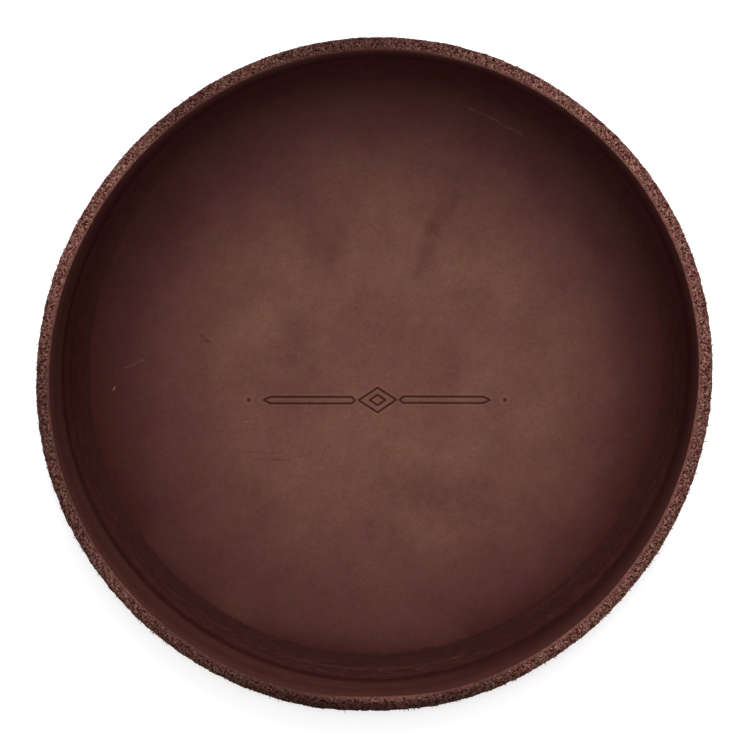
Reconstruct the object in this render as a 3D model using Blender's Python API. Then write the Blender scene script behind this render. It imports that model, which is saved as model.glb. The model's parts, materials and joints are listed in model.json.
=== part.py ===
"""Round catch-all tray of wet-moulded leather, drawn in two bonded plies.

Metres, +Z up. The origin is the centre of the flat underside, and the rim is cut level at the top.

The moulding plug sets the shape of the inside. Each surface of a ply is that plug shape grown outwards
by an even distance, so that the corner arcs of both plies share one centre:

    grain_lining   thin inner ply, smooth grain side inwards, with the crease pressed at the wall's foot
    outer_shell    thick outer ply, fibrous flesh side outwards, which the tray stands on
"""

import math

import bmesh
import bpy

# The whole tray
RIM_DIAMETER = 0.1524
HEIGHT = 0.0295
WALL_DRAFT = math.radians(1.5)

# The moulding plug
CORNER_RADIUS = 0.0060

# The two plies and the film of cement between them
LINING_THICKNESS = 0.0010
CEMENT_GAP = 0.0003
SHELL_THICKNESS = 0.0017

# The crease that the clamp ring presses round the foot of the wall, just above the corner
CREASE_WIDTH = 0.0014
CREASE_DEPTH = 0.0004
CREASE_RISE = 0.0006

# The knife-cut rim: the burnished edge of the grain and the rubbed edge of the flesh
GRAIN_EDGE_ROUND = 0.0004
FLESH_EDGE_ROUND = 0.0006

# Corners of the turned mesh nearer than this are one corner
WELD_DISTANCE = 0.00001

# Facets
TURN_STEPS = 72
CORNER_STEPS = 7
CREASE_STEPS = 6
EDGE_STEPS = 3
SHARP_ANGLE = math.radians(30)

# Oxblood brown dye, deeper on the polished grain than on the open flesh side
GRAIN_COLOUR = (0.125, 0.040, 0.026)
GRAIN_ROUGHNESS = 0.45
FLESH_COLOUR = (0.110, 0.043, 0.030)
FLESH_ROUGHNESS = 0.85

# Distances outwards from the plug
LINING_OUTSIDE = LINING_THICKNESS
SHELL_INSIDE = LINING_OUTSIDE + CEMENT_GAP
SHELL_OUTSIDE = SHELL_INSIDE + SHELL_THICKNESS

# The common centre of the corner arcs
CENTRE_HEIGHT = SHELL_OUTSIDE + CORNER_RADIUS
OUTER_REACH = (CORNER_RADIUS + SHELL_OUTSIDE) / math.cos(WALL_DRAFT)
WALL_LEAN = (HEIGHT - CENTRE_HEIGHT) * math.tan(WALL_DRAFT)
CENTRE_RADIUS = RIM_DIAMETER / 2 - OUTER_REACH - WALL_LEAN


def clear_scene():
    """Remove the objects that Blender opens with."""
    for item in list(bpy.data.objects):
        bpy.data.objects.remove(item, do_unlink=True)


def leather(name, colour, roughness):
    """A Principled leather of one colour."""
    material = bpy.data.materials.new(name)
    material.use_nodes = True
    shader = material.node_tree.nodes["Principled BSDF"]
    shader.inputs["Base Color"].default_value = (*colour, 1.0)
    shader.inputs["Roughness"].default_value = roughness
    shader.inputs["Metallic"].default_value = 0.0
    return material


def floor_centre(offset):
    """Point on the tray's axis, on the floor grown outwards by offset."""
    return (0, SHELL_OUTSIDE - offset)


def on_wall(offset, height):
    """Point of the wall grown outwards by offset, at a height above the underside."""
    reach = (CORNER_RADIUS + offset) / math.cos(WALL_DRAFT)
    lean = (height - CENTRE_HEIGHT) * math.tan(WALL_DRAFT)
    return (CENTRE_RADIUS + reach + lean, height)


def corner(offset):
    """Corner arc grown outwards by offset, from the floor up to the wall."""
    radius = CORNER_RADIUS + offset
    sweep = math.pi / 2 - WALL_DRAFT
    points = []
    for step in range(CORNER_STEPS + 1):
        angle = sweep * step / CORNER_STEPS - math.pi / 2
        across = CENTRE_RADIUS + radius * math.cos(angle)
        up = CENTRE_HEIGHT + radius * math.sin(angle)
        points.append((across, up))
    return points


def crease():
    """Rounded groove pressed into the wall above its corner, from the bottom up."""
    corner_top = CENTRE_HEIGHT - CORNER_RADIUS * math.sin(WALL_DRAFT)
    foot = corner_top + CREASE_RISE
    points = []
    for step in range(CREASE_STEPS + 1):
        share = step / CREASE_STEPS
        sunk = CREASE_DEPTH * math.sin(math.pi * share)
        points.append(on_wall(sunk, foot + CREASE_WIDTH * share))
    return points


def rounded_edge(offset, radius, side):
    """Quarter round from a wall up to the level rim. Side is -1 on an inner wall and 1 on an outer one."""
    wall = on_wall(offset, HEIGHT - radius)[0]
    points = []
    for step in range(EDGE_STEPS + 1):
        angle = math.pi / 2 * step / EDGE_STEPS
        across = wall - side * radius * (1 - math.cos(angle))
        up = HEIGHT - radius * (1 - math.sin(angle))
        points.append((across, up))
    return points


def turned_ply(name, profile, material):
    """Turn a profile, which starts and ends on the tray's axis, into one closed ply."""
    shape = bmesh.new()
    points = [shape.verts.new((across, 0, up)) for across, up in profile]
    edges = [shape.edges.new(pair) for pair in zip(points, points[1:])]
    bmesh.ops.spin(
        shape,
        geom=points + edges,
        cent=(0, 0, 0),
        axis=(0, 0, 1),
        angle=math.tau,
        steps=TURN_STEPS,
        use_merge=True,
    )
    bmesh.ops.remove_doubles(shape, verts=shape.verts, dist=WELD_DISTANCE)
    bmesh.ops.recalc_face_normals(shape, faces=shape.faces)
    mesh = bpy.data.meshes.new(name)
    shape.to_mesh(mesh)
    shape.free()
    mesh.shade_smooth()
    mesh.set_sharp_from_angle(angle=SHARP_ANGLE)
    mesh.materials.append(material)
    ply = bpy.data.objects.new(name, mesh)
    bpy.context.collection.objects.link(ply)
    return ply


def make_outer_shell():
    """Thick outer ply: underside, outer corner and wall, cut rim, then down the cemented face."""
    profile = [floor_centre(SHELL_OUTSIDE)]
    profile += corner(SHELL_OUTSIDE)
    profile += rounded_edge(SHELL_OUTSIDE, FLESH_EDGE_ROUND, 1)
    profile += [on_wall(SHELL_INSIDE, HEIGHT)]
    profile += reversed(corner(SHELL_INSIDE))
    profile += [floor_centre(SHELL_INSIDE)]
    flesh = leather("flesh_side_leather", FLESH_COLOUR, FLESH_ROUGHNESS)
    return turned_ply("outer_shell", profile, flesh)


def make_grain_lining():
    """Thin inner ply: cemented face, cut rim with its burnished edge, then the creased inside."""
    profile = [floor_centre(LINING_OUTSIDE)]
    profile += corner(LINING_OUTSIDE)
    profile += [on_wall(LINING_OUTSIDE, HEIGHT)]
    profile += reversed(rounded_edge(0, GRAIN_EDGE_ROUND, -1))
    profile += reversed(crease())
    profile += reversed(corner(0))
    profile += [floor_centre(0)]
    grain = leather("grain_side_leather", GRAIN_COLOUR, GRAIN_ROUGHNESS)
    return turned_ply("grain_lining", profile, grain)


clear_scene()
make_outer_shell()
make_grain_lining()
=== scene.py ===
"""The looks of a round catch-all tray of wet-moulded leather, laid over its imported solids.

The tray was made from two plies drawn over one plug while they were wet. The inner ply shows its smooth
grain side, and the outer ply its open flesh side. Both were cut level with a knife at the rim, so the rim
shows what leather is inside: dense near the grain, and loose fibre towards the flesh.

Shapes are in metres and finishes in millimetres. A pixel of the render is 0.22 mm of the rim, so a pattern
that is finer than that on real leather is drawn coarser here, just coarse enough to show.
"""

from __future__ import annotations

import json
import logging
import math
import random
from collections.abc import Callable, Iterable
from dataclasses import dataclass
from enum import Enum
from typing import Any, NamedTuple

import bmesh
import bpy
import numpy as np
from mathutils import Matrix, Vector, geometry, noise

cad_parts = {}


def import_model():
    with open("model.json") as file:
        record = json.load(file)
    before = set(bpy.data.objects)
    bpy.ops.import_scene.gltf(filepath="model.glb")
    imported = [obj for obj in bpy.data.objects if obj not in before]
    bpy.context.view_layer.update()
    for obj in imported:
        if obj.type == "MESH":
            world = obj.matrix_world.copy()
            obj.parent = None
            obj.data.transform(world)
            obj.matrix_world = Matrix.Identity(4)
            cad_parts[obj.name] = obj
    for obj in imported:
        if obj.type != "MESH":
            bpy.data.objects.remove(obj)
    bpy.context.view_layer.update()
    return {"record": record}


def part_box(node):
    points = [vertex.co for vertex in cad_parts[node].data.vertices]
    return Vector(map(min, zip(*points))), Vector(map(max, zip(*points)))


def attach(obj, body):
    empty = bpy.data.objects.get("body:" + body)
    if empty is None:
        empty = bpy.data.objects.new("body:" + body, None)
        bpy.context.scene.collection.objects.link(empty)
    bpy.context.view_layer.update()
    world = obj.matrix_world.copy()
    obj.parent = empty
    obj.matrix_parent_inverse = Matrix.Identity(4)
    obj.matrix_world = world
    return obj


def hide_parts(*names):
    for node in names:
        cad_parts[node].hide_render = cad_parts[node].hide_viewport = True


LOG = logging.getLogger("leather_tray")

Socket = bpy.types.NodeSocket
Tree = bpy.types.NodeTree
Pair = tuple[float, float]
Triple = tuple[float, float, float]

MM = 0.001
SAME_PLACE = 0.001 * MM
BODY = "root"
FLOOR_MOUNT = "tray_floor"

# What each point of a piece notes about its leather, for the finishes to read. The pressed mark also carries
# painted shade, the raised mark painted highlights and painted light, and the last mark dirt and painted
# shade together
PRESSED = "pressed"
RAISED = "raised"
LOOSE = "loose"
SOILED_AND_SHADED = "soiled"

# Numbers of the colour sockets of a Mix node
MIX_BELOW = 6
MIX_ABOVE = 7
MIX_RESULT = 2

# Drops the height from a place
LEVEL = (1.0, 1.0, 0.0)

# Dyes and tones that several layers share. The edge and worked dyes darken the floor towards the wall partly
# as painted shade, and the rubbed dye pales partly as painted highlights and painted light
DYE = "#664039"
DEEP_DYE = "#4E2C2B"
EDGE_DYE_AND_SHADE = "#3A1915"
WORKED_DYE_AND_SHADE = "#331815"
RUBBED_DYE_AND_HIGHLIGHT = "#8E5D4B"
PALE_FIBRE = "#C09085"
DARK_PIT = "#36120F"
NAP_DRIFT = "#764C3D"
NAP_SHADE = "#3F231D"

LEATHER_IOR = 1.45

# The noise that warps the fibres starts from the clock unless it is given this
NOISE_SEED = 7

# Where each pattern of the cut is read from the noise, so that none follows another
PIT_SEED = Vector((0, 0, 4))
GAP_SEED = Vector((5, 0, 0))
NUB_SEED = Vector((0, 9, 0))
TATTER_SEED = Vector((0, 0, 9))


class Spot(NamedTuple):
    """A point of a piece: how pressed in, raised and loose its leather is, and how much dirt and painted
    shade it has, from 0 to 1. Pressed and raised also carry painted shade and painted highlights.
    """

    point: Vector
    pressed: float = 0.0
    raised: float = 0.0
    loose: float = 0.0
    soiled: float = 0.0


class Ply(Enum):
    """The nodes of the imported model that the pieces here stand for."""

    SHELL = "outer_shell"
    LINING = "grain_lining"


class Slot(Enum):
    """The material slots of the record."""

    GRAIN = "grain_leather"
    FLESH = "flesh_leather"


class Side(Enum):
    """The sides of a ply, by the number of their finish: the face that was made, and where it was cut."""

    FACE = 0
    CUT = 1


class MarkStyle(NamedTuple):
    """How a mark on the grain looks: half its width and its wander in millimetres, its dye and its most."""

    half_width: float
    wander: float
    dye: str
    most: float
    broken: bool = False


class MarkKind(Enum):
    """What a mark on the grain is, and how it looks."""

    CLOUD = MarkStyle(8.5, 6.0, DEEP_DYE, 0.34)
    # Painted light: a paler floor by the front wall
    PAINTED_LIGHT = MarkStyle(9.5, 2.0, DYE, 0.17)
    SCRATCH = MarkStyle(0.55, 0.9, RUBBED_DYE_AND_HIGHLIGHT, 0.14, broken=True)
    VEIN = MarkStyle(3.2, 3.4, DEEP_DYE, 0.40)
    WRINKLE = MarkStyle(0.32, 0.7, DEEP_DYE, 0.60, broken=True)
    DUST = MarkStyle(0.32, 0.0, RUBBED_DYE_AND_HIGHLIGHT, 0.85)
    NICK = MarkStyle(0.58, 0.4, EDGE_DYE_AND_SHADE, 0.62)


def linear(hex_colour: str) -> tuple[float, float, float, float]:
    """Turn an sRGB hex colour into linear red, green, blue and alpha.

    Args:
        hex_colour: Six hex digits with a leading hash sign.

    Returns:
        Four numbers from 0 to 1, the last of them 1.
    """
    digits = hex_colour.lstrip("#")
    channels = [int(digits[i : i + 2], 16) / 255 for i in (0, 2, 4)]
    bright = [c / 12.92 if c <= 0.04045 else ((c + 0.055) / 1.055) ** 2.4 for c in channels]
    return (bright[0], bright[1], bright[2], 1.0)


def ease(low: float, high: float, value: float) -> float:
    """Rise smoothly from 0 at low to 1 at high.

    Args:
        low: Where the rise starts.
        high: Where it ends. It may be below low, for a fall.
        value: The place to read.

    Returns:
        A number from 0 to 1.
    """
    share = min(1.0, max(0.0, (value - low) / (high - low)))
    return share * share * (3 - 2 * share)


def uneased(share: float) -> float:
    """The value at which ease, from 0 to 1, gives a share."""
    return 0.5 - math.sin(math.asin(1 - 2 * share) / 3)


def swell(away: float, width: float) -> float:
    """A smooth hump: 1 in its middle, and nearly 0 at a distance of twice its width."""
    return math.exp(-((away / width) ** 2))


def evenly(start: float, end: float, step: float) -> list[float]:
    """Places about a step apart, from the start to just before the end."""
    count = max(1, round(abs(end - start) / step))
    return [start + (end - start) * i / count for i in range(count)]


def turned_from(angle: float, place: float) -> float:
    """How far an angle is turned from a place on the circle, from minus to plus half a turn."""
    return (angle - place + math.pi) % math.tau - math.pi


def add_node(
    tree: Tree,
    kind: str,
    inputs: dict[str | int, Any] | None = None,
    **settings: Any,
) -> bpy.types.Node:
    """Add one shader node.

    Args:
        tree: The material's node tree.
        kind: Blender's name for the node's type, without ShaderNode.
        inputs: What goes into its sockets, by name or number: a value to set, or a socket to link.
        settings: Properties of the node.

    Returns:
        The new node.
    """
    node = tree.nodes.new("ShaderNode" + kind)
    for name, value in settings.items():
        setattr(node, name, value)
    for socket, value in (inputs or {}).items():
        if isinstance(value, Socket):
            tree.links.new(value, node.inputs[socket])
        else:
            node.inputs[socket].default_value = value
    return node


def start_material(name: str) -> tuple[bpy.types.Material, Tree, Socket]:
    """Start a material whose patterns are laid out in real millimetres.

    Args:
        name: The material's name.

    Returns:
        The material, its empty tree, and the socket that gives a surface point in millimetres.
    """
    material = bpy.data.materials.new(name)
    material.use_nodes = True
    tree = material.node_tree
    tree.nodes.clear()
    where = add_node(tree, "TexCoord").outputs["Object"]
    scaled = add_node(tree, "VectorMath", {0: where, "Scale": 1 / MM}, operation="SCALE")
    return material, tree, scaled.outputs[0]


def lay_over(tree: Tree, mask: Socket, span: Pair, below: Any, above: Any, most: float) -> Socket:
    """Lay a colour over another where a mask is high.

    Args:
        tree: The material's node tree.
        mask: What steers it.
        span: The mask's values where the upper colour starts to show, and where it shows most.
        below: Colour or socket that lies below.
        above: Colour or socket that is laid over it.
        most: The most of the upper colour that shows.

    Returns:
        The colour's socket.
    """
    inputs = {"Value": mask, "From Min": span[0], "From Max": span[1], "To Max": most}
    share = add_node(tree, "MapRange", inputs, interpolation_type="SMOOTHSTEP").outputs[0]
    mixed = {0: share, MIX_BELOW: below, MIX_ABOVE: above}
    return add_node(tree, "Mix", mixed, data_type="RGBA").outputs[MIX_RESULT]


def finish_material(tree: Tree, inputs: dict[str | int, Any]) -> None:
    """End a material with its shader.

    Args:
        tree: The material's node tree.
        inputs: What goes into the shader's sockets.
    """
    surface = add_node(tree, "BsdfPrincipled", inputs)
    add_node(tree, "OutputMaterial", {"Surface": surface.outputs[0]})


class Pattern(NamedTuple):
    """A cloudy pattern: its size in millimetres, its finer octaves, how strong those are, and its swirl."""

    size: float
    detail: float = 5.0
    roughness: float = 0.5
    distortion: float = 0.0

    def inputs(self, place: Socket) -> dict[str | int, Any]:
        """What a noise node takes to draw it.

        Args:
            place: Place in millimetres.

        Returns:
            The node's inputs.
        """
        return {
            "Vector": place,
            "Scale": 1 / self.size,
            "Detail": self.detail,
            "Roughness": self.roughness,
            "Distortion": self.distortion,
        }


class Coat(NamedTuple):
    """A dye laid over another where a pattern is high.

    Its span is the pattern's values where it starts to show and where it shows most.
    """

    dye: str
    span: Pair = (0.0, 1.0)
    most: float = 1.0

    def over(self, tree: Tree, pattern: Socket, below: Any) -> Socket:
        """Lay it over a colour.

        Args:
            tree: The material's node tree.
            pattern: What steers it.
            below: Colour or socket that lies below.

        Returns:
            The colour with the dye on it.
        """
        return lay_over(tree, pattern, self.span, below, linear(self.dye), self.most)


class Tint(NamedTuple):
    """Two faint tints that a pattern shifts a colour between, as factors on red, green and blue."""

    pattern: Pattern
    span: Pair
    low: Triple
    high: Triple

    def on(self, tree: Tree, mm: Socket, colour: Socket) -> Socket:
        """Tint a colour.

        Args:
            tree: The material's node tree.
            mm: Place in millimetres.
            colour: The colour.

        Returns:
            The tinted colour.
        """
        mask = add_node(tree, "TexNoise", self.pattern.inputs(mm)).outputs["Fac"]
        tint = lay_over(tree, mask, self.span, (*self.low, 1.0), (*self.high, 1.0), 1.0)
        return add_node(tree, "VectorMath", {0: colour, 1: tint}, operation="MULTIPLY").outputs[0]


class Zone(NamedTuple):
    """Oval rings of tone round a place on the floor, made uneven as hand-rubbed dye is.

    The oval says how much each axis counts. The place and the unevenness are in millimetres.
    """

    oval: Triple
    centre: Triple = (0.0, 0.0, 0.0)
    uneven: float = 5.0

    def distance(self, tree: Tree, mm: Socket, pattern: Socket) -> Socket:
        """Distance across the floor from its centre.

        Args:
            tree: The material's node tree.
            mm: Place in millimetres.
            pattern: Noise that makes it uneven.

        Returns:
            The distance in millimetres.
        """
        away = add_node(tree, "VectorMath", {0: mm, 1: self.centre}, operation="SUBTRACT").outputs[0]
        flat = add_node(tree, "VectorMath", {0: away, 1: self.oval}, operation="MULTIPLY").outputs[0]
        radius = add_node(tree, "VectorMath", {0: flat}, operation="LENGTH").outputs["Value"]
        centred = add_node(tree, "Math", {0: pattern, 1: 0.5}, operation="SUBTRACT").outputs[0]
        moved = {0: centred, 1: self.uneven, 2: radius}
        return add_node(tree, "Math", moved, operation="MULTIPLY_ADD").outputs[0]


@dataclass(frozen=True)
class Section:
    """The plug's cross-section, which every surface of both plies follows at an even distance.

    A place on it is given by the way along the plug from the tray's axis: over the floor, round the corner
    and up the wall. An offset goes from the plug's surface into the leather.
    """

    height: float
    thickness: float
    rim_radius: float
    corner_radius: float = 6.0 * MM
    draft: float = math.radians(1.5)

    @property
    def centre_height(self) -> float:
        """Height of the corner arcs' common centre."""
        return self.thickness + self.corner_radius

    @property
    def floor_radius(self) -> float:
        """Where the flat floor ends, which is also the radius of the arcs' common centre."""
        reach = (self.corner_radius + self.thickness) / math.cos(self.draft)
        lean = (self.height - self.centre_height) * math.tan(self.draft)
        return self.rim_radius - reach - lean

    @property
    def wall_start(self) -> float:
        """How far along the plug the wall starts."""
        return self.floor_radius + self.corner_radius * (math.pi / 2 - self.draft)

    def wall_at(self, up: float, offset: float) -> float:
        """How far along the plug the wall has reached a height, at an offset."""
        start = self.centre_height - (self.corner_radius + offset) * math.sin(self.draft)
        return self.wall_start + (up - start) / math.cos(self.draft)

    def point(self, along: float, offset: float) -> Pair:
        """Place on the cross-section.

        Args:
            along: The way along the plug from the axis.
            offset: How far into the leather.

        Returns:
            Radius and height.
        """
        if along <= self.floor_radius:
            return along, self.thickness - offset
        arc = self.corner_radius + offset
        turned = min(along, self.wall_start) - self.floor_radius
        angle = turned / self.corner_radius - math.pi / 2
        up_wall = max(0.0, along - self.wall_start)
        radius = self.floor_radius + arc * math.cos(angle) + up_wall * math.sin(self.draft)
        return radius, self.centre_height + arc * math.sin(angle) + up_wall * math.cos(self.draft)


@dataclass(frozen=True)
class Wander:
    """Smooth unevenness that closes on itself round the tray: its size, its swells in a turn, its seed."""

    size: float
    swells: float
    seed: float

    def at(self, angle: float) -> float:
        """How large it is at an angle, up to about plus or minus its size."""
        reach = self.swells / math.tau
        return self.size * noise.noise(Vector((reach * math.cos(angle), reach * math.sin(angle), self.seed)))


@dataclass(frozen=True)
class Patch:
    """Something that is most at one place round the rim: its most, and its place and width in degrees."""

    most: float
    middle: float
    width: float

    def at(self, angle: float) -> float:
        """How much of it there is at an angle in radians."""
        return self.most * swell(math.degrees(turned_from(angle, math.radians(self.middle))), self.width)


@dataclass(frozen=True)
class OneSided:
    """Something that is strongest on one side of the tray.

    It is strongest towards an angle in degrees, and its least share is on the far side. The span is the
    cosines of the turn from that angle between which it grows.
    """

    towards: float
    least: float
    span: Pair

    def at(self, angle: float) -> float:
        """How strong it is at an angle in radians, up to 1."""
        low, high = self.span
        return self.least + (1 - self.least) * ease(low, high, math.cos(angle - math.radians(self.towards)))


@dataclass(frozen=True)
class Band:
    """A band round the inside of the tray, by the way along the plug from the wall's start.

    It grows from its start to where it is full, stays full until it fades, and ends.
    """

    start: float
    full: float
    fades: float
    end: float

    def at(self, up: float) -> float:
        """How much of it there is, from 0 to 1, at a way along the plug from the wall's start."""
        return ease(self.start, self.full, up) * ease(self.end, self.fades, up)


@dataclass(frozen=True)
class HandShape:
    """How far hand moulding and hand cutting leave the tray from a true round one.

    Each lobe has a count round the tray, its share of the radius, and the angle in degrees where it is
    highest. The front of the rim is pressed a little flat, as the tray was stood on its edge.
    """

    height: float
    lobes: tuple[tuple[int, float, float], ...] = ((2, 0.0102, 47.8), (3, 0.0011, 69.0), (4, 0.0023, 9.2))
    side_ripple: Wander = Wander(0.0011, 22, 3.1)
    rim_wander: Wander = Wander(0.20 * MM, 7, 8.2)
    rim_ripple: Wander = Wander(0.06 * MM, 46, 5.7)
    front_flat: Patch = Patch(0.40 * MM, -90, 8)
    base_share: float = 0.3

    def place(self, radius: float, up: float, angle: float) -> Vector:
        """Move a point of the true shape to where the hand left it.

        Args:
            radius: Distance from the axis.
            up: Height above the underside.
            angle: Angle round the axis.

        Returns:
            The point in the frame.
        """
        bulge = sum(share * math.cos(n * (angle - math.radians(turn))) for n, share, turn in self.lobes)
        high = ease(self.base_share * self.height, self.height, up)
        reach = radius * (1 + bulge + self.side_ripple.at(angle)) - high * self.front_flat.at(angle)
        up += high * (self.rim_wander.at(angle) + self.rim_ripple.at(angle))
        return Vector((reach * math.cos(angle), reach * math.sin(angle), up))


class PieceMesh:
    """Points, faces and per-point marks of a piece while it is laid out ring by ring."""

    def __init__(self, name: str) -> None:
        """Start an empty piece.

        Args:
            name: The name that it will have.
        """
        self.name = name
        self.spots: list[Spot] = []
        self.faces: list[tuple[int, ...]] = []
        self.finishes: list[int] = []

    def add(self, spot: Spot) -> int:
        """Add a point and return its number."""
        self.spots.append(spot)
        return len(self.spots) - 1

    def add_ring(self, count: int, spot: Callable[[float], Spot]) -> list[int]:
        """Add a closed ring of points.

        Args:
            count: How many points.
            spot: Gives the point at an angle.

        Returns:
            The points' numbers.
        """
        return [self.add(spot(math.tau * i / count)) for i in range(count)]

    def add_face(self, corners: Iterable[int], side: Side) -> None:
        """Add a face on one of the piece's sides."""
        self.faces.append(tuple(corners))
        self.finishes.append(side.value)

    def join(self, first: list[int], second: list[int], side: Side) -> None:
        """Fill the band between two rings, the second as fine as the first, or twice or half as fine.

        Args:
            first: Numbers of one ring.
            second: Numbers of the next ring.
            side: Which side the band is on.
        """
        if len(first) == len(second):
            for i, start in enumerate(first):
                after = (i + 1) % len(first)
                self.add_face((start, first[after], second[after], second[i]), side)
            return
        fine, coarse = (first, second) if len(first) > len(second) else (second, first)
        for i, start in enumerate(coarse):
            after = coarse[(i + 1) % len(coarse)]
            left, middle, right = (fine[(2 * i + k) % len(fine)] for k in range(3))
            self.add_face((start, middle, left), side)
            self.add_face((start, after, middle), side)
            self.add_face((after, right, middle), side)

    def close(self, ring: list[int], spot: Spot, side: Side) -> None:
        """Fill a ring with a fan round one point.

        Args:
            ring: Numbers of the ring.
            spot: The point in its middle.
            side: Which side the fan is on.
        """
        middle = self.add(spot)
        for i, start in enumerate(ring):
            self.add_face((start, ring[(i + 1) % len(ring)], middle), side)

    def build(self, materials: list[bpy.types.Material]) -> bpy.types.Object:
        """Make the object, with its faces pointing out.

        Args:
            materials: The finishes of its sides, in their order.

        Returns:
            The object, linked to the scene.
        """
        mesh = bpy.data.meshes.new(self.name)
        mesh.from_pydata([tuple(spot.point) for spot in self.spots], [], self.faces)
        for material in materials:
            mesh.materials.append(material)
        mesh.polygons.foreach_set("material_index", self.finishes)
        for name in (PRESSED, RAISED, LOOSE, SOILED_AND_SHADED):
            layer = mesh.attributes.new(name, "FLOAT", "POINT")
            layer.data.foreach_set("value", [getattr(spot, name) for spot in self.spots])
        shape = bmesh.new()
        shape.from_mesh(mesh)
        bmesh.ops.recalc_face_normals(shape, faces=shape.faces)
        shape.to_mesh(mesh)
        shape.free()
        mesh.shade_smooth()
        piece = bpy.data.objects.new(self.name, mesh)
        bpy.context.scene.collection.objects.link(piece)
        return piece


@dataclass(frozen=True)
class GrainMark:
    """One mark on the floor's grain, from its start to its end in millimetres across the floor."""

    kind: MarkKind
    start: Pair
    end: Pair


@dataclass(frozen=True)
class GrainFinish:
    """Vegetable-tanned cowhide, drum-dyed oxblood brown, dried over a plug grain side out and waxed.

    To the eye: a close, smooth brown with cloudy dye, tiny hair pores, a faint grey-green wax haze that is
    partly painted sheen, and a low soft shine. The colour is deeper towards the wall, at the worked corner
    and the wall's foot and in pressed lines, the crease and wrinkle furrows, and lighter up the wall, partly
    as dye and partly as painted shade. It is pale on rubbed ridges, partly as wear and partly as painted
    highlights. Sizes are in millimetres. Real hair pores stand 0.3 to 0.5 mm apart and the grain's net is
    finer still, so both are drawn about three times as coarse.

    A coat over a zone shows by the distance from its centre, and one over the foot or the wall by the
    height. The creases are stretched along the corner, and the hatches lie along them at the lit front,
    partly as rubbed wear and partly as painted highlights.
    """

    clouds: Pattern = Pattern(30.0)
    mottle: Pattern = Pattern(11.0)
    speckle: Pattern = Pattern(0.8)
    light: Coat = Coat("#6D473D", (0.36, 0.66))
    deep: Coat = Coat(DEEP_DYE, (0.40, 0.76), 0.30)
    # Darker towards the wall in three steps, off centre so that it reaches further in at the back: partly dye
    # that pooled there and partly painted shade
    outer: Coat = Coat("#4E2A28", (28.0, 64.0))
    outer_shade_zone: Zone = Zone((1.028, 0.972, 0.0), (3.0, -0.8, 0.0))
    edge: Coat = Coat(EDGE_DYE_AND_SHADE, (52.0, 68.0))
    edge_shade_zone: Zone = Zone((1.028, 0.972, 0.0), (1.0, -3.2, 0.0))
    worked: Coat = Coat(WORKED_DYE_AND_SHADE, (67.15, 68.25))
    worked_and_shaded_zone: Zone = Zone((1.0, 1.016, 0.0), uneven=1.0)
    long_way: float = math.radians(47.8)
    # By height: darker at the wall's foot and lighter up the wall, partly dye and partly painted shade
    foot: Coat = Coat("#3A1D1B", (3.6, 6.5))
    wall: Coat = Coat("#462624", (8.6, 19.0))
    wall_top: Coat = Coat("#54312D", (18.5, 26.5))
    # Paler where a point is marked raised: partly wear, and partly painted highlights on ridges and the
    # tooled lines' lips and painted light on the wall at the front left
    handled: Coat = Coat(RUBBED_DYE_AND_HIGHLIGHT, most=0.35)
    # Darker where a point is marked pressed: the tooled lines, and partly painted shade in the crease, the
    # wrinkle furrows, the corner and the wall at the front right
    groove: Coat = Coat("#250B08", (0.05, 0.95), 0.85)
    pore: Coat = Coat(WORKED_DYE_AND_SHADE, most=0.24)
    roughness: float = 0.58
    shine_spread: float = 0.08
    reflection: float = 0.066
    worked_reflection: float = 0.030
    wax_fade: float = 3.0
    tone: Pattern = Pattern(3.2, 6.5, 1.0)
    tone_span: Pair = (0.3, 0.7)
    tone_depth: float = 0.21
    net_size: float = 0.66
    net_bend: Pattern = Pattern(0.66, 2.0)
    net_line: float = 0.16
    net_depth: float = 0.10
    hue: Tint = Tint(Pattern(3.5, 3.0, 0.75), (0.34, 0.66), (1.012, 0.958, 1.065), (0.988, 1.042, 0.935))
    # Partly wax haze and partly painted sheen of the grain: fine flecks that shift the colour paler and
    # greyer
    bloom_and_sheen: Tint = Tint(Pattern(0.45, 4.0, 0.7), (0.36, 0.66), (0.975, 0.930, 0.915), (1.025, 1.070, 1.085))
    pebble: Pattern = Pattern(0.42, 4.0)
    pebble_depth: float = 0.030
    pore_spacing: float = 1.15
    pore_span: Pair = (0.23, 0.09)
    pore_groups: Pattern = Pattern(5.75, 2.0)
    group_span: Pair = (0.45, 0.62)
    pore_depth: float = 0.020
    # Fine creases round the corner: their tone lightens and darkens the colour, partly their own tone and
    # partly painted light and shade
    crease: Pattern = Pattern(0.42, 4.0, 0.6, 0.5)
    crease_stretch: float = 7.0
    crease_fade: float = 0.6
    crease_tone_and_shade: float = 0.24
    crease_depth: float = 0.03
    # Pale hatches on the creases at the front of the corner, where it is lit: partly rubbed wear and partly
    # painted highlights
    hatch_highlight: Coat = Coat(RUBBED_DYE_AND_HIGHLIGHT, most=0.085)
    hatch_span: Pair = (0.585, 0.625)
    hatch_middle: float = 76.0
    hatch_width: float = 3.2
    hatch_lit_front: Pair = (0.3, -0.5)
    mark_bend: Pattern = Pattern(1 / 0.22, 3.0)
    mark_breaks: Pattern = Pattern(0.9, 3.0)
    break_span: Pair = (0.25, 0.60)
    marks: tuple[GrainMark, ...] = ()

    def material(self) -> bpy.types.Material:
        """Build the material.

        Returns:
            The waxed grain, from the dye up through its marks, its worked parts and its pores.
        """
        made, tree, mm = start_material("vegetable_tanned_grain_waxed")
        clouds, mottle, speckle = (
            add_node(tree, "TexNoise", pattern.inputs(mm)).outputs["Fac"]
            for pattern in (self.clouds, self.mottle, self.speckle)
        )
        pressed, raised = (
            add_node(tree, "Attribute", attribute_name=name).outputs["Fac"] for name in (PRESSED, RAISED)
        )
        colour = self.light.over(tree, clouds, linear(DYE))
        colour = self.deep.over(tree, mottle, colour)
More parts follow.
